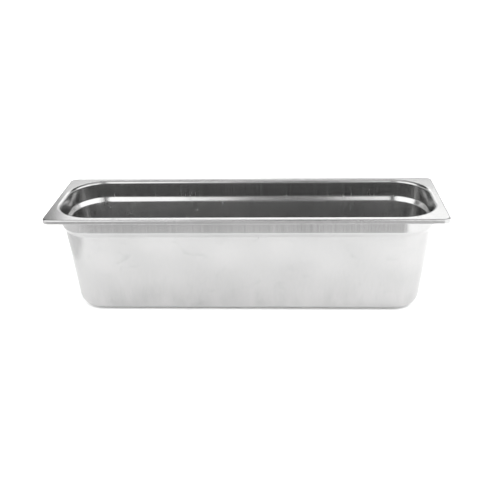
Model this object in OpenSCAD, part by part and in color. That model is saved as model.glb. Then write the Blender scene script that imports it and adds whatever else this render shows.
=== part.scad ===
/*
  Deep food pan for a chilled counter or a steam table, drawn from one sheet of
  stainless steel: flat base, sloping walls, stacking shoulder, straight neck,
  flat rim and a lip turned down round the rim's edge.
  Origin at the middle of the base's underside, +X along the pan, +Z up.
*/

/* [Pan] */
// Length over the rim
pan_length = 530; // [400:1:600]
// Width over the rim
pan_width = 162; // [150:1:330]
// Height from the base to the top of the rim
pan_height = 150; // [100:1:160]
// Thickness of the steel sheet
sheet = 0.8; // [0.6:0.1:1.2]

/* [Rim] */
// Radius of the rim's corners, seen from above
rim_corner_radius = 10; // [6:1:14]
// Height of the lip, from the top of the rim to the lip's edge
lip_height = 6; // [4:0.5:8]
// Outer radius of the bend between rim and lip
lip_bend_radius = 2; // [1.4:0.2:3]
// Radius of the food side of the bend from the rim down into the neck
mouth_bend_radius = 4; // [3:0.2:5]

/* [Walls] */
// Distance from the rim's edge in to the neck's outer face
neck_inset = 11.2; // [10:0.2:12]
// Depth of the stacking shoulder's upper edge below the rim
shoulder_depth = 23; // [18:1:40]
// Distance that the shoulder steps in, from the neck to the wall
shoulder_step = 3.4; // [2.4:0.2:4]
// Slope of the shoulder, in degrees from upright
shoulder_slope = 28; // [24:1:32]
// Outer radius of the shoulder's two bends
shoulder_radius = 6; // [4:0.5:7]
// Slope of the walls below the shoulder, in degrees from upright
wall_draft = 5.8; // [3:0.2:7]
// Distance from the rim's edge in to the centres of the pan's round corners
corner_inset = 61; // [58:1:66]
// Outer radius of the bend between wall and base
base_radius = 20; // [14:1:22]

/* [Hidden] */
$fn = 96;
steel = [0.78, 0.79, 0.80];

// Flats that stand for the sheet's small bends, and for the large one at the base
bend_steps = 6;
base_steps = 10;

// A section is drawn as [distance out from the corner centres, height].
// Centres of the bends, from the rim down. The sheet's outer face is the reference
neck_reach = corner_inset - neck_inset;
mouth_centre = [neck_reach + mouth_bend_radius - sheet, pan_height - mouth_bend_radius];
upper_centre = [neck_reach - shoulder_radius, pan_height - shoulder_depth];

// Length of the straight stretch between the shoulder's two bends
bends_step = shoulder_radius * (1 + cos(wall_draft) - 2 * cos(shoulder_slope));
ramp_length = (shoulder_step - bends_step) / sin(shoulder_slope);
lower_centre = upper_centre
    + 2 * shoulder_radius * heading(-shoulder_slope)
    - ramp_length * heading(90 - shoulder_slope);

// Top of the wall's straight stretch, and that stretch's length down to the base bend
wall_top = lower_centre - shoulder_radius * heading(-wall_draft);
wall_length = (wall_top[1] - base_radius * (1 - sin(wall_draft))) / cos(wall_draft);
base_centre = wall_top
    - wall_length * heading(90 - wall_draft)
    - base_radius * heading(-wall_draft);

// The lip is swept about the rim's own corner centres, so its section counts from them
lip_centre = [rim_corner_radius - lip_bend_radius, pan_height - lip_bend_radius];
lip_edge_height = pan_height - lip_height;

// Unit vector at an angle
function heading(angle) = [cos(angle), sin(angle)];

// Points along an arc
function arc(centre, radius, from, to, steps) =
    [for (i = [0:steps]) centre + radius * heading(from + (to - from) * i / steps)];

function reversed(points) = [for (i = [len(points) - 1:-1:0]) points[i]];

// One face of the sheet, from the middle of the base up to the rim:
// depth is 0 for the outer face and the sheet's thickness for the food side
function wall_face(depth) = concat(
    [[0, depth]],
    arc(base_centre, base_radius - depth, -90, -wall_draft, base_steps),
    arc(lower_centre, shoulder_radius + depth, 180 - wall_draft, 180 - shoulder_slope, bend_steps),
    arc(upper_centre, shoulder_radius - depth, -shoulder_slope, 0, bend_steps),
    arc(mouth_centre, mouth_bend_radius - sheet + depth, 180, 90, bend_steps)
);

wall_section = concat(wall_face(0), reversed(wall_face(sheet)));

lip_section = concat(
    arc(lip_centre, lip_bend_radius, 90, 0, bend_steps),
    [[rim_corner_radius, lip_edge_height], [rim_corner_radius - sheet, lip_edge_height]],
    arc(lip_centre, lip_bend_radius - sheet, 0, 90, bend_steps)
);

// Carries a section round the pan: four quarter turns about corner centres that lie
// `inset` from the rim's edge, and the straight side before each of them
module swept_round(section, inset) {
    half_length = pan_length / 2 - inset;
    half_width = pan_width / 2 - inset;
    for (turn = [0:3]) {
        ahead = turn % 2 == 0 ? half_length : half_width;
        aside = turn % 2 == 0 ? half_width : half_length;
        rotate(90 * turn)
            translate([ahead, aside, 0]) {
                rotate_extrude(angle = 90) polygon(section);
                rotate([90, 0, 0]) linear_extrude(2 * aside) polygon(section);
            }
    }
}

// Outline of the rim shrunk by `inset`, with its corner centres `centre_inset` from the edge
module rim_outline(inset, centre_inset) {
    between_x = pan_length - 2 * centre_inset;
    between_y = pan_width - 2 * centre_inset;
    for (x = [-0.5, 0.5], y = [-0.5, 0.5])
        translate([x * between_x, y * between_y]) circle(centre_inset - inset);
    square([pan_length - 2 * inset, between_y], center = true);
    square([between_x, pan_width - 2 * inset], center = true);
}

// Base, walls, shoulder, neck and the bend at the mouth
module basin() {
    swept_round(wall_section, corner_inset);
    translate([corner_inset - pan_length / 2, corner_inset - pan_width / 2, 0])
        cube([pan_length - 2 * corner_inset, pan_width - 2 * corner_inset, sheet]);
}

// Flat rim, from the bend at the mouth out to the bend at the lip
module rim() {
    translate([0, 0, pan_height - sheet])
        linear_extrude(sheet)
            difference() {
                rim_outline(lip_bend_radius, rim_corner_radius);
                rim_outline(corner_inset - mouth_centre[0], corner_inset);
            }
}

// The pan is one pressing, so basin, rim and lip are one solid
module pan() {
    color(steel)
        union() {
            basin();
            rim();
            swept_round(lip_section, rim_corner_radius);
        }
}

pan();
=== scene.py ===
import logging
import math
from collections.abc import Callable
from dataclasses import dataclass
from enum import Enum

import bpy
from mathutils import Matrix, Vector

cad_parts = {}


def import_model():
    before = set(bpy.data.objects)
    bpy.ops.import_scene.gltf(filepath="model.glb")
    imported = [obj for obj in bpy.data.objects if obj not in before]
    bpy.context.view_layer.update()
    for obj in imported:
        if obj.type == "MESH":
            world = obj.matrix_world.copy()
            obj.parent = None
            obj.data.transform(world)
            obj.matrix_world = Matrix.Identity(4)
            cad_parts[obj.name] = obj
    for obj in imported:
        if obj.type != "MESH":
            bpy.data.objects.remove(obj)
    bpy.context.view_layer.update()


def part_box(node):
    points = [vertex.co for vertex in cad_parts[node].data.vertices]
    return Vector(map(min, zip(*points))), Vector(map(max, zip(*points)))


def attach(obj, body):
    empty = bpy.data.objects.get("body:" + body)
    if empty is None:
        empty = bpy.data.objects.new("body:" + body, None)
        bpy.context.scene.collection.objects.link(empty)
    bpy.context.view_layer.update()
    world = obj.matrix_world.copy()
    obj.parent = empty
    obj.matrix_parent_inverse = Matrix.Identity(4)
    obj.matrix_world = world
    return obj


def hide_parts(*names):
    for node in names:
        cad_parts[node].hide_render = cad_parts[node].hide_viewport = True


MM = 0.001
QUARTER_TURN = math.pi / 2

SWEEP_SIZES = ("Length", "Width", "Basin Corner Inset", "Rim Corner Inset")
SWEEP_COUNTS = ("Section Points", "Straight Steps", "Corner Steps")

Triple = tuple[float, float, float]

log = logging.getLogger("food_pan")


# ---------------------------------------------------------------- node graphs


class Graph:
    """A node tree under construction, with short calls for its nodes and links."""

    def __init__(self, tree: bpy.types.NodeTree) -> None:
        """Wraps a tree.

        Args:
            tree: The tree that the nodes go into.
        """
        self.tree = tree

    @classmethod
    def inside(cls, holder: bpy.types.Material | bpy.types.World) -> "Graph":
        """Gives a new material or world an empty node tree.

        Args:
            holder: The material or world.

        Returns:
            The graph of its tree.
        """
        holder.use_nodes = True
        holder.node_tree.nodes.clear()
        return cls(holder.node_tree)

    def add(self, kind: str, inputs: dict | None = None, **settings: object) -> bpy.types.Node:
        """Adds a node.

        Args:
            kind: The node's Blender type name.
            inputs: What goes into its sockets, by socket name or number: a wire, a socket or a
                value.
            **settings: Properties set on the node itself.

        Returns:
            The new node.
        """
        node = self.tree.nodes.new(kind)
        for name, value in settings.items():
            setattr(node, name, value)
        for key, value in (inputs or {}).items():
            self.feed(node.inputs[key], value)
        return node

    def feed(self, socket: bpy.types.NodeSocket, value: object) -> None:
        """Links a wire or socket into a socket, or sets the socket's own value.

        Args:
            socket: The input to fill.
            value: A Wire, an output socket, or a plain value.
        """
        if isinstance(value, Wire):
            value = value.socket
        if isinstance(value, bpy.types.NodeSocket):
            self.tree.links.new(value, socket)
        else:
            socket.default_value = value

    def wire(self, kind: str, inputs: dict | None = None, output: str | int = 0,
             **settings: object) -> "Wire":
        """Adds a node and returns one of its outputs.

        Args:
            kind: The node's Blender type name.
            inputs: What goes into its sockets.
            output: The output's name or number.
            **settings: Properties set on the node itself.

        Returns:
            The output as a wire that arithmetic works on.
        """
        return Wire(self, self.add(kind, inputs, **settings).outputs[output])

    def math(self, operation: str, *values: object) -> "Wire":
        """Adds a Math node.

        Args:
            operation: The Math node's operation.
            *values: Its operands.

        Returns:
            The result.
        """
        return self.wire("ShaderNodeMath", dict(enumerate(values)), operation=operation)

    def axis(self, vector: object, name: str) -> "Wire":
        """Reads one number of a vector.

        Args:
            vector: The wire or socket that gives the vector.
            name: X, Y or Z.

        Returns:
            The number.
        """
        return self.wire("ShaderNodeSeparateXYZ", {"Vector": vector}, output=name)

    def blend(self, share: object, start: object, end: object) -> "Wire":
        """Mixes two colours.

        Args:
            share: How much of the second colour there is.
            start: The first colour, with its opacity.
            end: The second colour.

        Returns:
            The mixed colour.
        """
        colours = {"Factor": share, "A": start, "B": end}
        return self.wire("ShaderNodeMix", colours, output="Result", data_type="RGBA")


class Wire:
    """What flows out of a node, so that formulas can be written as they are read."""

    def __init__(self, graph: Graph, socket: bpy.types.NodeSocket) -> None:
        """Wraps an output socket.

        Args:
            graph: The graph that the socket is in.
            socket: The output.
        """
        self.graph = graph
        self.socket = socket

    def __add__(self, other: object) -> "Wire":
        """Sum."""
        return self.graph.math("ADD", self, other)

    def __radd__(self, other: object) -> "Wire":
        """Sum."""
        return self.graph.math("ADD", other, self)

    def __sub__(self, other: object) -> "Wire":
        """Difference."""
        return self.graph.math("SUBTRACT", self, other)

    def __rsub__(self, other: object) -> "Wire":
        """Difference."""
        return self.graph.math("SUBTRACT", other, self)

    def __mul__(self, other: object) -> "Wire":
        """Product."""
        return self.graph.math("MULTIPLY", self, other)

    def __rmul__(self, other: object) -> "Wire":
        """Product."""
        return self.graph.math("MULTIPLY", other, self)

    def __truediv__(self, other: object) -> "Wire":
        """Quotient."""
        return self.graph.math("DIVIDE", self, other)

    def clamped(self) -> "Wire":
        """The number held between 0 and 1."""
        return self.graph.wire("ShaderNodeClamp", {"Value": self})


def opaque(colour: Triple) -> tuple[float, float, float, float]:
    """A colour with full opacity."""
    return (*colour, 1.0)


def grey(shade: float) -> tuple[float, float, float, float]:
    """An opaque grey."""
    return opaque((shade, shade, shade))


# ---------------------------------------------------------------- sizes


@dataclass(frozen=True)
class PanSizes:
    """The pan's sizes in metres, and its slopes in radians.

    Depths count down from the rim's top, and insets in from its outer edge.
    """

    length: float
    width: float
    height: float
    sheet: float = 0.8 * MM
    rim_corner_radius: float = 10 * MM
    lip_height: float = 6 * MM
    lip_bend_radius: float = 2 * MM
    mouth_bend_radius: float = 4 * MM
    neck_inset: float = 11.2 * MM
    shoulder_depth: float = 23 * MM
    shoulder_step: float = 3.4 * MM
    shoulder_slope: float = math.radians(28)
    shoulder_radius: float = 6 * MM
    wall_draft: float = math.radians(5.8)
    corner_inset: float = 61 * MM
    base_radius: float = 20 * MM

    @classmethod
    def from_frame(cls, node: str) -> "PanSizes":
        """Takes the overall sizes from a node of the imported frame.

        Args:
            node: The pan's CAD node.

        Returns:
            The sizes.
        """
        low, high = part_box(node)
        span = high - low
        return cls(length=span.x, width=span.y, height=span.z)


class Region(Enum):
    """What a stretch of the sheet's section is, which the finish reads."""

    FLAT = 0.0
    BEND = 1.0


@dataclass(frozen=True)
class SectionPoint:
    """A point of the sheet's section.

    reach is the distance out from the corner centres; below zero it runs in towards the middle of
    the base. about_rim says which corner centres: the basin's, or the rim's own.
    """

    reach: float
    height: float
    about_rim: bool
    region: Region

    @property
    def place(self) -> tuple[float, float]:
        """The point as (reach, height)."""
        return self.reach, self.height

    def beside(self, distance: float) -> "SectionPoint":
        """A flat point at the same height, a little further out.

        Args:
            distance: How much further out; below zero it is further in.

        Returns:
            The point.
        """
        return SectionPoint(self.reach + distance, self.height, self.about_rim, Region.FLAT)


@dataclass(frozen=True)
class SheetSection:
    """The bent sheet cut across.

    It runs from the middle of the underside, round the lip, to the middle of the food side. The
    steps say how finely each stretch is divided. The flat of the rim starts a seam's width from
    the bends on its two sides, so that they shade crisply.
    """

    sizes: PanSizes
    small_bend_steps: int = 10
    base_bend_steps: int = 18
    base_steps: int = 4
    wall_steps: int = 8
    shoulder_steps: int = 3
    neck_steps: int = 5
    lip_steps: int = 4
    edge_steps: int = 3
    edge_rounding: float = 0.3
    seam: float = 0.4 * MM

    def points(self) -> list[SectionPoint]:
        """Works out the whole section.

        Returns:
            The points in order.
        """
        underside = self._basin_face(0.0)
        food_side = self._basin_face(self.sizes.sheet)
        return underside + self._lip() + food_side[::-1]

    @staticmethod
    def _arc(centre: Vector, radius: float, start: float, end: float, steps: int,
             about_rim: bool = False) -> list[SectionPoint]:
        """Points along a bend.

        Args:
            centre: The bend's centre as (reach, height).
            radius: Its radius.
            start: The angle it starts at, in radians.
            end: The angle it ends at.
            steps: How many steps it takes.
            about_rim: Whether reach counts from the rim's corner centres.

        Returns:
            The points, both ends among them.
        """
        angles = [start + (end - start) * i / steps for i in range(steps + 1)]
        places = [centre + radius * heading(angle) for angle in angles]
        return [SectionPoint(place.x, place.y, about_rim, Region.BEND) for place in places]

    @staticmethod
    def _line(start: SectionPoint, end: SectionPoint, steps: int) -> list[SectionPoint]:
        """Points inside a straight stretch.

        They are closer together towards its ends, so that the bends shade crisply.

        Args:
            start: The point it starts from.
            end: The point it runs to.
            steps: How many steps the stretch has.

        Returns:
            The points between the two, without the two themselves.
        """
        near, far = Vector(start.place), Vector(end.place)
        places = [near + (far - near) * eased(i / steps) for i in range(1, steps)]
        return [SectionPoint(place.x, place.y, start.about_rim, Region.FLAT) for place in places]

    def _basin_face(self, depth: float) -> list[SectionPoint]:
        """One face of the basin, from the middle of the base up to the flat of the rim.

        Args:
            depth: How deep the face lies in the sheet: 0 for the outer face, the thickness for the
                food side.

        Returns:
            The points, from the middle of the base outwards.
        """
        s = self.sizes
        neck_reach = s.corner_inset - s.neck_inset
        mouth = Vector((neck_reach + s.mouth_bend_radius - s.sheet, s.height - s.mouth_bend_radius))
        upper = Vector((neck_reach - s.shoulder_radius, s.height - s.shoulder_depth))

        # The shoulder's two bends take up part of its step, and a straight ramp the rest
        bends_step = s.shoulder_radius * (
            1 + math.cos(s.wall_draft) - 2 * math.cos(s.shoulder_slope)
        )
        ramp = (s.shoulder_step - bends_step) / math.sin(s.shoulder_slope)
        lower = (
            upper
            + 2 * s.shoulder_radius * heading(-s.shoulder_slope)
            - ramp * heading(QUARTER_TURN - s.shoulder_slope)
        )

        # The wall runs down from there to wherever the base bend meets it
        wall_top = lower - s.shoulder_radius * heading(-s.wall_draft)
        drop = wall_top.y - s.base_radius * (1 - math.sin(s.wall_draft))
        wall_length = drop / math.cos(s.wall_draft)
        wall_foot = wall_top - wall_length * heading(QUARTER_TURN - s.wall_draft)
        base = wall_foot - s.base_radius * heading(-s.wall_draft)

        bends = [
            self._arc(base, s.base_radius - depth,
                      -QUARTER_TURN, -s.wall_draft, self.base_bend_steps),
            self._arc(lower, s.shoulder_radius + depth,
                      math.pi - s.wall_draft, math.pi - s.shoulder_slope, self.small_bend_steps),
            self._arc(upper, s.shoulder_radius - depth,
                      -s.shoulder_slope, 0, self.small_bend_steps),
            self._arc(mouth, s.mouth_bend_radius - s.sheet + depth,
                      math.pi, QUARTER_TURN, self.small_bend_steps),
        ]
        middle = SectionPoint(s.corner_inset - s.width / 2, depth, False, Region.FLAT)
        corner = SectionPoint(0.0, depth, False, Region.FLAT)
        points = [middle, corner, *self._line(corner, bends[0][0], self.base_steps)]
        between = (self.wall_steps, self.shoulder_steps, self.neck_steps)
        for bend, following, steps in zip(bends, bends[1:], between):
            points += bend + self._line(bend[-1], following[0], steps)
        return points + bends[-1] + [bends[-1][-1].beside(self.seam)]

    def _lip(self) -> list[SectionPoint]:
        """The rim's outer edge, from its underside round the lip's cut edge to its top.

        Returns:
            The points, counted from the rim's own corner centres.
        """
        s = self.sizes
        bend_out = s.rim_corner_radius - s.lip_bend_radius
        centre = Vector((bend_out, s.height - s.lip_bend_radius))
        under = self._arc(centre, s.lip_bend_radius - s.sheet, QUARTER_TURN, 0,
                          self.small_bend_steps, about_rim=True)
        over = self._arc(centre, s.lip_bend_radius, 0, QUARTER_TURN,
                         self.small_bend_steps, about_rim=True)
        radius = s.sheet * self.edge_rounding
        edge_height = s.height - s.lip_height + radius
        inside = Vector((s.rim_corner_radius - s.sheet + radius, edge_height))
        outside = Vector((s.rim_corner_radius - radius, edge_height))
        edge = (
            self._arc(inside, radius, -math.pi, -QUARTER_TURN, self.edge_steps, about_rim=True)
            + self._arc(outside, radius, -QUARTER_TURN, 0, self.edge_steps, about_rim=True)
        )
        return [
            under[0].beside(-self.seam),
            *under,
            *self._line(under[-1], edge[0], self.lip_steps),
            *edge,
            *self._line(edge[-1], over[0], self.lip_steps),
            *over,
            over[-1].beside(-self.seam),
        ]


def heading(angle: float) -> Vector:
    """The unit vector at an angle."""
    return Vector((math.cos(angle), math.sin(angle)))


def eased(share: float | Wire) -> float | Wire:
    """A share from 0 to 1 that starts and ends slowly."""
    return share * share * (3 - 2 * share)


# ---------------------------------------------------------------- finish


@dataclass(frozen=True)
class Mark:
    """One kind of mark in the steel.

    size is how large a mark is along each axis, detail how much finer detail it holds, and warp
    how far it is bent. level is where it begins to show; without one it shows everywhere, both
    ways. roughness, shine and relief are what it adds where it is strongest, relief in metres.
    """

    size: Triple
    detail: float = 0.0
    warp: float = 0.0
    level: float | None = None
    roughness: float = 0.0
    shine: float = 0.0
    relief: float = 0.0


@dataclass(frozen=True)
class SatinSteel:
    """Rolled stainless steel drawn in a press.

    The mill's grain runs along the flat sheet and so climbs the end walls. The press leaves upright
    drawing marks and shallow puckers on the walls and burnishes the bends, and use leaves smears,
    nesting scuffs on the shoulder and fine scratches. The puckers near the base are real shallow
    bumps, and also a painted sheen: paler and duller patches of colour that stand in for how they
    reflect. Shine mixes the dull colour into the pale.
    """

    name: str = "stainless_satin"
    pale: Triple = (0.556, 0.554, 0.552)
    dull: Triple = (0.392, 0.393, 0.394)
    shine: float = 0.70
    roughness: float = 0.245
    burnish: float = 0.035
    grain_stretch: float = 0.25
    grain_course: Triple = (1.0, 0.0, 0.03)
    grain: Mark = Mark(
        (40 * MM, 0.35 * MM, 1.0), detail=3.0, roughness=0.035, shine=0.22, relief=0.0012 * MM
    )
    mill_bands: Mark = Mark((260 * MM, 6 * MM, 1.0), detail=2.0, roughness=0.030, shine=0.32)
    draw_marks: Mark = Mark(
        (1.1 * MM, 1.1 * MM, 80 * MM), detail=2.0, roughness=0.045, shine=0.20, relief=0.0022 * MM
    )
    waves: Mark = Mark((60 * MM, 60 * MM, 45 * MM), shine=0.16, relief=0.10 * MM)
    # Puckers: real shallow bumps near the base, plus a painted sheen, paler and duller colour
    # patches that stand in for how the bumps reflect
    puckers_and_painted_sheen: Mark = Mark((15 * MM, 15 * MM, 70 * MM), detail=1.0, shine=0.45, relief=0.12 * MM)
    smears: Mark = Mark(
        (38 * MM, 38 * MM, 26 * MM), detail=3.0, warp=1.4, level=0.25, roughness=0.055, shine=-0.22
    )
    scuffs: Mark = Mark(
        (0.8 * MM, 0.8 * MM, 14 * MM), detail=1.0, level=0.20, roughness=0.10, shine=-0.35
    )
    scratches: Mark = Mark(
        (34 * MM, 0.3 * MM, 1.0), level=0.80, roughness=0.04, shine=-0.06, relief=-0.0003 * MM
    )
    scratched_patches: Mark = Mark((70 * MM, 70 * MM, 1.0), detail=1.0, level=0.0)
    scratch_turns: tuple[float, ...] = (0.35, -0.6, 1.9)
    scratch_shift: Triple = (0.7, 0.3, 0.5)
    pucker_top: float = 55 * MM
    scuff_heights: tuple[float, float] = (112 * MM, 134 * MM)
    noise_middle: float = 0.5
    noise_gain: float = 3.2
    noise_roughness: float = 0.55
    fade: float = 0.6

    def material(self) -> bpy.types.Material:
        """Builds the material.

        Returns:
            The material.
        """
        material = bpy.data.materials.new(self.name)
        graph = Graph.inside(material)
        normal = graph.wire("ShaderNodeNewGeometry", output="Normal")
        bend = graph.wire("ShaderNodeAttribute", output="Fac", attribute_name="bend")
        layers = self._layers(graph, normal)
        marked = self._total(self.roughness, layers, lambda mark: mark.roughness)
        roughness = marked - bend * self.burnish
        shine = self._total(self.shine, layers, lambda mark: mark.shine)
        relief = self._total(0.0, layers, lambda mark: mark.relief)
        across_grain = {0: normal, 1: Vector(self.grain_course)}
        shader = graph.wire("ShaderNodeBsdfPrincipled", {
            "Base Color": graph.blend(shine.clamped(), opaque(self.dull), opaque(self.pale)),
            "Metallic": 1.0,
            "Roughness": roughness.clamped(),
            "Anisotropic": self.grain_stretch,
            "Tangent": graph.wire("ShaderNodeVectorMath", across_grain, operation="CROSS_PRODUCT"),
            "Normal": graph.wire("ShaderNodeBump", {
                "Height": relief, "Distance": 1.0, "Strength": 1.0,
            }),
        }, output="BSDF")
        graph.add("ShaderNodeOutputMaterial", {"Surface": shader})
        return material

    def _layers(self, graph: Graph, normal: Wire) -> list[tuple[Mark, Wire]]:
        """Lays every kind of mark on the pan.

        Args:
            graph: The material's graph.
            normal: The surface's direction.

        Returns:
            Each kind of mark, with how strong it is at each place.
        """
        place = graph.wire("ShaderNodeTexCoord", output="Object")
        sheet = graph.wire("ShaderNodeAttribute", output="Vector", attribute_name="sheet")
        height = graph.axis(place, "Z")
        upright = 1.0 - graph.math("ABSOLUTE", graph.axis(normal, "Z"))
        near_base = self._near_base(graph, height)
        by_shoulder = self._by_shoulder(graph, height)
        return [
            (self.grain, self._pattern(graph, sheet, self.grain)),
            (self.mill_bands, self._pattern(graph, sheet, self.mill_bands)),
            (self.draw_marks, self._pattern(graph, place, self.draw_marks) * upright),
            (self.waves, self._pattern(graph, place, self.waves)),
            # Puckers near the base: real relief, and a painted sheen in the colour
            (self.puckers_and_painted_sheen, self._pattern(graph, place, self.puckers_and_painted_sheen) * near_base * upright),
            (self.smears, self._pattern(graph, place, self.smears)),
            (self.scuffs, self._pattern(graph, place, self.scuffs) * by_shoulder * upright),
            (self.scratches, self._crossed_scratches(graph, sheet)),
        ]

    @staticmethod
    def _total(bare: float, layers: list[tuple[Mark, Wire]],
               effect: Callable[[Mark], float]) -> Wire:
        """Adds up what all the marks do to one quality of the steel.

        Args:
            bare: The quality where there are no marks.
            layers: Each kind of mark, with how strong it is at each place.
            effect: Reads what a kind of mark does to the quality.

        Returns:
            The quality.
        """
        total: Wire | float = bare
        for mark, strength in layers:
            if effect(mark):
                total = total + strength * effect(mark)
        return total

    def _pattern(self, graph: Graph, coordinates: Wire, mark: Mark) -> Wire:
        """Scatters one kind of mark at random.

        Args:
            graph: The material's graph.
            coordinates: What the marks are laid on.
            mark: The kind of mark.

        Returns:
            A number from about -1 to 1, or from 0 to 1 for a mark with a level.
        """
        per_mark = Vector(1.0 / size for size in mark.size)
        noise = graph.wire("ShaderNodeTexNoise", {
            "Vector": graph.wire(
                "ShaderNodeVectorMath", {0: coordinates, 1: per_mark}, operation="MULTIPLY"
            ),
            "Scale": 1.0,
            "Detail": mark.detail,
            "Roughness": self.noise_roughness,
            "Distortion": mark.warp,
        })
        strength = (noise - self.noise_middle) * self.noise_gain
        if mark.level is None:
            return strength
        return graph.wire("ShaderNodeMapRange", {
            "Value": strength, "From Min": mark.level, "From Max": mark.level + self.fade,
        }, interpolation_type="SMOOTHSTEP")

    def _crossed_scratches(self, graph: Graph, sheet: Wire) -> Wire:
        """Sparse fine scratches in a few directions, gathered in patches.

        Args:
            graph: The material's graph.
            sheet: The place on the flat sheet.

        Returns:
            A number, 0 where there is no scratch.
        """
        total: Wire | float = 0.0
        for i, turn in enumerate(self.scratch_turns):
            turned = graph.wire("ShaderNodeMapping", {
                "Vector": sheet,
                "Location": i * Vector(self.scratch_shift),
                "Rotation": Vector((0.0, 0.0, turn)),
            })
            lines = self._pattern(graph, turned, self.scratches)
            patches = self._pattern(graph, turned, self.scratched_patches)
            total = lines * patches + total
        return total

    def _by_shoulder(self, graph: Graph, height: Wire) -> Wire:
        """1 in the middle of the band where nested pans rub, fading to 0 at its edges.

        Args:
            graph: The material's graph.
            height: The height above the base.

        Returns:
            A number from 0 to 1.
        """
        low, high = self.scuff_heights
        middle, half = (low + high) / 2, (high - low) / 2
        return (1.0 - graph.math("ABSOLUTE", height - middle) / half).clamped()

    def _near_base(self, graph: Graph, height: Wire) -> Wire:
        """1 at the base, fading to 0 where the puckers end.

        Args:
            graph: The material's graph.
            height: The height above the base.

        Returns:
            A number from 0 to 1.
        """
        return graph.wire("ShaderNodeMapRange", {
            "Value": height,
            "From Min": 0.0,
            "From Max": self.pucker_top,
            "To Min": 1.0,
            "To Max": 0.0,
        }, interpolation_type="SMOOTHSTEP")


@dataclass(frozen=True)
class MattePaper:
    """The pale paper that the pan stands on."""

    name: str = "pale_sweep"
    colour: Triple = (0.86, 0.86, 0.86)
    roughness: float = 0.5

    def material(self) -> bpy.types.Material:
        """Builds the material.

        Returns:
            The material.
        """
        material = bpy.data.materials.new(self.name)
        graph = Graph.inside(material)
        shader = graph.wire("ShaderNodeBsdfDiffuse", {
            "Color": opaque(self.colour), "Roughness": self.roughness,
        }, output="BSDF")
        graph.add("ShaderNodeOutputMaterial", {"Surface": shader})
        return material


# ---------------------------------------------------------------- the pan


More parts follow.
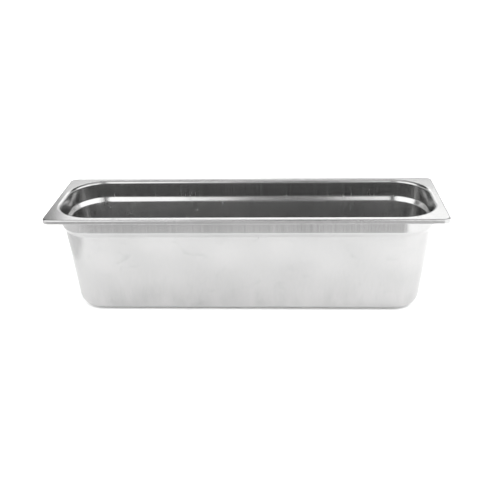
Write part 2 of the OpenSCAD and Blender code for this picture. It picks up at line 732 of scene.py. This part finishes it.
@dataclass
class PressedPan:
    """The pan itself: one sheet, swept round two sets of corner centres."""

    sizes: PanSizes
    finish: SatinSteel
    straight_steps: int = 14
    corner_steps: int = 28
    weld: float = 0.01 * MM
    name: str = "pressed_pan"
    cad_node: str = "pan"
    material_slot: str = "stainless_steel"

    def build(self) -> bpy.types.Object:
        """Builds, dresses and attaches the pan.

        Returns:
            The pan's object.
        """
        pan = self._section_object(SheetSection(self.sizes).points())
        self._sweep(pan, self._sweep_tree())
        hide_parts(self.cad_node)
        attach(pan, "root")
        log.info("%s: %d faces", pan.name, len(pan.data.polygons))
        return pan

    def _section_object(self, points: list[SectionPoint]) -> bpy.types.Object:
        """Puts the section's points into a mesh that the sweep reads.

        Args:
            points: The section's points.

        Returns:
            An object whose vertices are (reach, 0, height), with the attributes that the sweep
            reads.
        """
        mesh = bpy.data.meshes.new(self.name)
        edges = [(i, i + 1) for i in range(len(points) - 1)]
        mesh.from_pydata([(p.reach, 0.0, p.height) for p in points], edges, [])
        attributes = {
            "about_rim": [float(p.about_rim) for p in points],
            "bend_here": [p.region.value for p in points],
            "taken_up": self._taken_up(points),
        }
        for name, values in attributes.items():
            mesh.attributes.new(name, "FLOAT", "POINT").data.foreach_set("value", values)
        pan = bpy.data.objects.new(self.name, mesh)
        bpy.context.scene.collection.objects.link(pan)
        return pan

    @staticmethod
    def _taken_up(points: list[SectionPoint]) -> list[float]:
        """How much of the flat sheet the bends and walls have taken up by each point.

        Both faces are counted outwards from the middle of the base, so that a pattern laid on the
        flat sheet runs on unbroken up the walls.

        Args:
            points: The section's points.

        Returns:
            The lengths in metres.
        """
        def from_middle(path: list[SectionPoint]) -> list[float]:
            """The lengths along one face."""
            lengths = [0.0]
            for a, b in zip(path, path[1:]):
                out = b.reach - a.reach
                run = math.hypot(out, b.height - a.height)
                lengths.append(lengths[-1] + (run - out if a.about_rim == b.about_rim else 0.0))
            return lengths

        half = len(points) // 2
        under = from_middle(points[:half])
        over = from_middle(points[half:][::-1])
        return under + over[::-1]

    @staticmethod
    def _empty_sweep_tree() -> bpy.types.NodeTree:
        """Makes the sweep's node tree with its inputs and output, and nothing inside.

        Returns:
            The tree.
        """
        tree = bpy.data.node_groups.new("sweep_round_pan", "GeometryNodeTree")
        sockets = {
            "NodeSocketGeometry": ("Section",),
            "NodeSocketFloat": SWEEP_SIZES,
            "NodeSocketInt": SWEEP_COUNTS,
            "NodeSocketMaterial": ("Finish",),
        }
        tree.interface.new_socket("Geometry", in_out="OUTPUT", socket_type="NodeSocketGeometry")
        for kind, names in sockets.items():
            for name in names:
                tree.interface.new_socket(name, in_out="INPUT", socket_type=kind)
        return tree

    def _sweep_tree(self) -> bpy.types.NodeTree:
        """Builds the node tree that carries a section round the pan.

        Returns:
            The tree.
        """
        tree = self._empty_sweep_tree()
        graph = Graph(tree)
        given = graph.add("NodeGroupInput")
        length, width, basin_inset, rim_inset, count, straight, corner = (
            Wire(graph, given.outputs[name]) for name in SWEEP_SIZES + SWEEP_COUNTS
        )
        position = graph.wire("GeometryNodeInputPosition")

        # A grid, one column for each step round the pan and one row for each section point
        per_side = straight + corner
        around = 4 * per_side
        grid = graph.wire("GeometryNodeMeshGrid", {
            "Size X": around, "Size Y": count - 1, "Vertices X": around + 1, "Vertices Y": count,
        }, output="Mesh")
        column = graph.math("ROUND", graph.axis(position, "X") + around / 2)
        row = graph.math("ROUND", graph.axis(position, "Y") + (count - 1) / 2)

        def from_section(value: Wire, kind: str = "FLOAT") -> Wire:
            """Reads a value of the section at this row."""
            return graph.wire("GeometryNodeSampleIndex", {
                "Geometry": given.outputs["Section"], "Value": value, "Index": row,
            }, data_type=kind, domain="POINT")

        def named(name: str) -> Wire:
            """Reads a named attribute of the section at this row."""
            return from_section(
                graph.wire("GeometryNodeInputNamedAttribute", {"Name": name}, data_type="FLOAT")
            )

        section_place = from_section(position, "FLOAT_VECTOR")
        reach = graph.axis(section_place, "X")
        height = graph.axis(section_place, "Z")

        # Where this column is: which side of the pan, how far along it, and the turn at its corner
        side = graph.math("FLOOR", column / per_side)
        step = column - side * per_side
        along = eased((step / straight).clamped())
        turn = (side + ((step - straight) / corner).clamped()) * QUARTER_TURN
        turn_cos = graph.math("COSINE", turn)
        turn_sin = graph.math("SINE", turn)

        # The corner centres form a rectangle, which shrinks where the base runs in to its middle
        inset = basin_inset + named("about_rim") * (rim_inset - basin_inset)
        shrink = graph.math("MINIMUM", reach, 0.0) - inset
        radius = graph.math("MAXIMUM", reach, 0.0)
        half_length = length / 2 + shrink
        half_width = width / 2 + shrink
        mean = (half_length + half_width) / 2
        swing = (half_length - half_width) / 2 * graph.math("COSINE", side * math.pi)
        ahead = mean + swing
        aside = (mean - swing) * (2 * along - 1)
        side_turn = side * QUARTER_TURN
        side_cos = graph.math("COSINE", side_turn)
        side_sin = graph.math("SINE", side_turn)
        x = ahead * side_cos - aside * side_sin + radius * turn_cos
        y = ahead * side_sin + aside * side_cos + radius * turn_sin
        swept = graph.wire("GeometryNodeSetPosition", {
            "Geometry": grid,
            "Position": graph.wire("ShaderNodeCombineXYZ", {"X": x, "Y": y, "Z": height}),
        })

        # What the finish reads: the bends, and the place on the sheet before it was pressed
        taken_up = named("taken_up")
        on_sheet = graph.wire("ShaderNodeCombineXYZ", {
            "X": x + taken_up * turn_cos, "Y": y + taken_up * turn_sin,
        })
        stored = (("bend", "FLOAT", named("bend_here")), ("sheet", "FLOAT_VECTOR", on_sheet))
        for name, kind, value in stored:
            swept = graph.wire("GeometryNodeStoreNamedAttribute", {
                "Geometry": swept, "Name": name, "Value": value,
            }, data_type=kind, domain="POINT")

        merged = graph.wire("GeometryNodeMergeByDistance", {
            "Geometry": swept, "Distance": self.weld,
        })
        smooth = graph.wire("GeometryNodeSetShadeSmooth", {
            "Geometry": merged, "Shade Smooth": True,
        })
        real = graph.wire("GeometryNodeRealizeInstances", {"Geometry": smooth})
        dressed = graph.wire("GeometryNodeSetMaterial", {
            "Geometry": real, "Material": given.outputs["Finish"],
        })
        graph.add("NodeGroupOutput", {"Geometry": dressed})
        return tree

    def _sweep(self, pan: bpy.types.Object, tree: bpy.types.NodeTree) -> None:
        """Runs the sweep and leaves its result in the object as a plain mesh, with no modifier.

        Args:
            pan: The object that holds the section.
            tree: The sweep's node tree.
        """
        s = self.sizes
        values = {
            "Length": s.length,
            "Width": s.width,
            "Basin Corner Inset": s.corner_inset,
            "Rim Corner Inset": s.rim_corner_radius,
            "Section Points": len(pan.data.vertices),
            "Straight Steps": self.straight_steps,
            "Corner Steps": self.corner_steps,
            "Finish": self.finish.material(),
        }
        modifier = pan.modifiers.new("sweep", "NODES")
        modifier.node_group = tree
        for socket in tree.interface.items_tree:
            if socket.in_out == "INPUT" and socket.name in values:
                modifier[socket.identifier] = values[socket.name]
        depsgraph = bpy.context.evaluated_depsgraph_get()
        mesh = bpy.data.meshes.new_from_object(pan.evaluated_get(depsgraph))
        pan.modifiers.remove(modifier)
        section = pan.data
        pan.data = mesh
        bpy.data.meshes.remove(section)
        mesh.name = self.name


# ---------------------------------------------------------------- studio


@dataclass
class ProductCamera:
    """The camera, in front of the pan and above it."""

    name: str = "product_camera"
    place: Triple = (0.0548, -0.9778, 0.5217)
    pitch: float = math.radians(-24.750)
    yaw: float = math.radians(3.037)
    roll: float = math.radians(-1.307)
    focal_length: float = 54.53
    sensor: float = 36.0
    sight: tuple[float, float] = (0.05, 50.0)

    def build(self) -> bpy.types.Object:
        """Makes the camera and gives it to the scene.

        Returns:
            The camera.
        """
        data = bpy.data.cameras.new(self.name)
        data.sensor_width = self.sensor
        data.lens = self.focal_length
        data.clip_start, data.clip_end = self.sight
        camera = bpy.data.objects.new(self.name, data)
        turn = (
            Matrix.Rotation(self.yaw, 4, "Z")
            @ Matrix.Rotation(QUARTER_TURN + self.pitch, 4, "X")
            @ Matrix.Rotation(self.roll, 4, "Z")
        )
        camera.matrix_world = Matrix.Translation(self.place) @ turn
        bpy.context.scene.collection.objects.link(camera)
        bpy.context.scene.camera = camera
        return camera


def flat_object(name: str, across: tuple[float, float], along: tuple[float, float], height: float,
                material: bpy.types.Material) -> bpy.types.Object:
    """Makes a level rectangle that isn't part of the pan.

    Args:
        name: The object's name.
        across: Where it lies along X.
        along: Where it lies along Y.
        height: How high it lies.
        material: What it is made of.

    Returns:
        The object.
    """
    (left, right), (front, back) = across, along
    corners = ((left, front), (right, front), (right, back), (left, back))
    mesh = bpy.data.meshes.new(name)
    mesh.from_pydata([(x, y, height) for x, y in corners], [], [(0, 1, 2, 3)])
    mesh.materials.append(material)
    flat = bpy.data.objects.new(name, mesh)
    bpy.context.scene.collection.objects.link(flat)
    return flat


@dataclass
class Floor:
    """The pale floor."""

    finish: MattePaper
    half_size: float = 8.0

    def build(self) -> bpy.types.Object:
        """Makes the floor.

        Returns:
            The floor.
        """
        span = (-self.half_size, self.half_size)
        return flat_object("floor", span, span, 0.0, self.finish.material())


@dataclass(frozen=True)
class SoftLight:
    """A flat rectangular light that faces the pan.

    azimuth turns it round the pan, 0 in front and positive to the right. Both angles are in
    degrees.
    """

    name: str
    azimuth: float
    elevation: float
    distance: float
    width: float
    height: float
    power: float
    in_reflections: bool = True

    def build(self) -> bpy.types.Object:
        """Makes the light.

        Returns:
            The light.
        """
        data = bpy.data.lights.new(self.name, "AREA")
        data.shape = "RECTANGLE"
        data.size = self.width
        data.size_y = self.height
        data.energy = self.power
        light = bpy.data.objects.new(self.name, data)
        azimuth, elevation = math.radians(self.azimuth), math.radians(self.elevation)
        away = Vector((
            math.sin(azimuth) * math.cos(elevation),
            -math.cos(azimuth) * math.cos(elevation),
            math.sin(elevation),
        ))
        facing = away.to_track_quat("Z", "Y").to_matrix().to_4x4()
        light.matrix_world = Matrix.Translation(away * self.distance) @ facing
        light.visible_glossy = self.in_reflections
        light.visible_camera = False
        bpy.context.scene.collection.objects.link(light)
        return light


@dataclass(frozen=True)
class Flag:
    """A card just above the floor that only reflections see, for the steel to mirror."""

    name: str
    across: tuple[float, float]
    along: tuple[float, float]
    shade: float
    height: float = 4 * MM

    def build(self) -> bpy.types.Object:
        """Makes the card.

        Returns:
            The card.
        """
        material = bpy.data.materials.new(self.name)
        graph = Graph.inside(material)
        glow = graph.wire("ShaderNodeEmission", {"Color": grey(self.shade)}, output="Emission")
        graph.add("ShaderNodeOutputMaterial", {"Surface": glow})
        card = flat_object(self.name, self.across, self.along, self.height, material)
        card.visible_camera = False
        card.visible_diffuse = False
        card.visible_shadow = False
        return card


@dataclass(frozen=True)
class Studio:
    """The lights and the soft surroundings.

    Two windows stand left and right of the camera with a dim gap between them, and a panel behind
    the pan. room lists the greys that reflections see, from the horizon up to straight overhead,
    each with the height of its direction as a share of 1.
    """

    lights: tuple[SoftLight, ...] = (
        SoftLight("window_left", azimuth=-49, elevation=38, distance=1.8,
                  width=2.3, height=1.4, power=19.5),
        SoftLight("window_right", azimuth=65, elevation=38, distance=1.8,
                  width=3.2, height=1.4, power=27),
        SoftLight("back_panel", azimuth=181, elevation=30, distance=2.0,
                  width=1.6, height=0.42, power=4.6),
        SoftLight("floor_right", azimuth=62, elevation=48, distance=0.9,
                  width=0.4, height=0.4, power=1.0, in_reflections=False),
    )
    flags: tuple[Flag, ...] = (
        Flag("flag_front", across=(-1.2, 0.36), along=(-1.6, -0.30), shade=0.71),
        Flag("flag_left", across=(-1.2, -0.36), along=(-0.29, 0.5), shade=1.09),
    )
    dome: float = 1.29
    room: tuple[tuple[float, float], ...] = (
        (0.0, 1.5), (0.20, 0.55), (0.45, 0.08), (0.76, 0.08), (0.93, 0.8), (1.0, 0.9)
    )

    def build(self) -> None:
        """Makes the lights, the flags and the world."""
        for piece in self.lights + self.flags:
            piece.build()
        self._world()

    def _world(self) -> None:
        """Makes an even white dome that lights the floor; reflections see the room instead."""
        world = bpy.data.worlds.new("studio_room")
        graph = Graph.inside(world)
        up = graph.axis(graph.wire("ShaderNodeTexCoord", output="Generated"), "Z")
        shade = graph.add("ShaderNodeValToRGB", {"Fac": up})
        stops = shade.color_ramp.elements
        for stop, (height, value) in zip(list(stops), (self.room[0], self.room[-1])):
            stop.position = height
            stop.color = grey(value)
        for height, value in self.room[1:-1]:
            stops.new(height).color = grey(value)
        reflected = graph.wire("ShaderNodeLightPath", output="Is Glossy Ray")
        seen = graph.blend(reflected, grey(self.dome), shade.outputs["Color"])
        background = graph.wire("ShaderNodeBackground", {"Color": seen, "Strength": 1.0})
        graph.add("ShaderNodeOutputWorld", {"Surface": background})
        bpy.context.scene.world = world


# ---------------------------------------------------------------- assembly


def main() -> None:
    """Builds the whole scene."""
    logging.basicConfig(level=logging.INFO, format="%(name)s: %(message)s")
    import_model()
    bpy.context.scene.view_settings.view_transform = "Standard"
    ProductCamera().build()
    Floor(MattePaper()).build()
    Studio().build()
    PressedPan(PanSizes.from_frame("pan"), SatinSteel()).build()


if __name__ == "__main__":
    main()
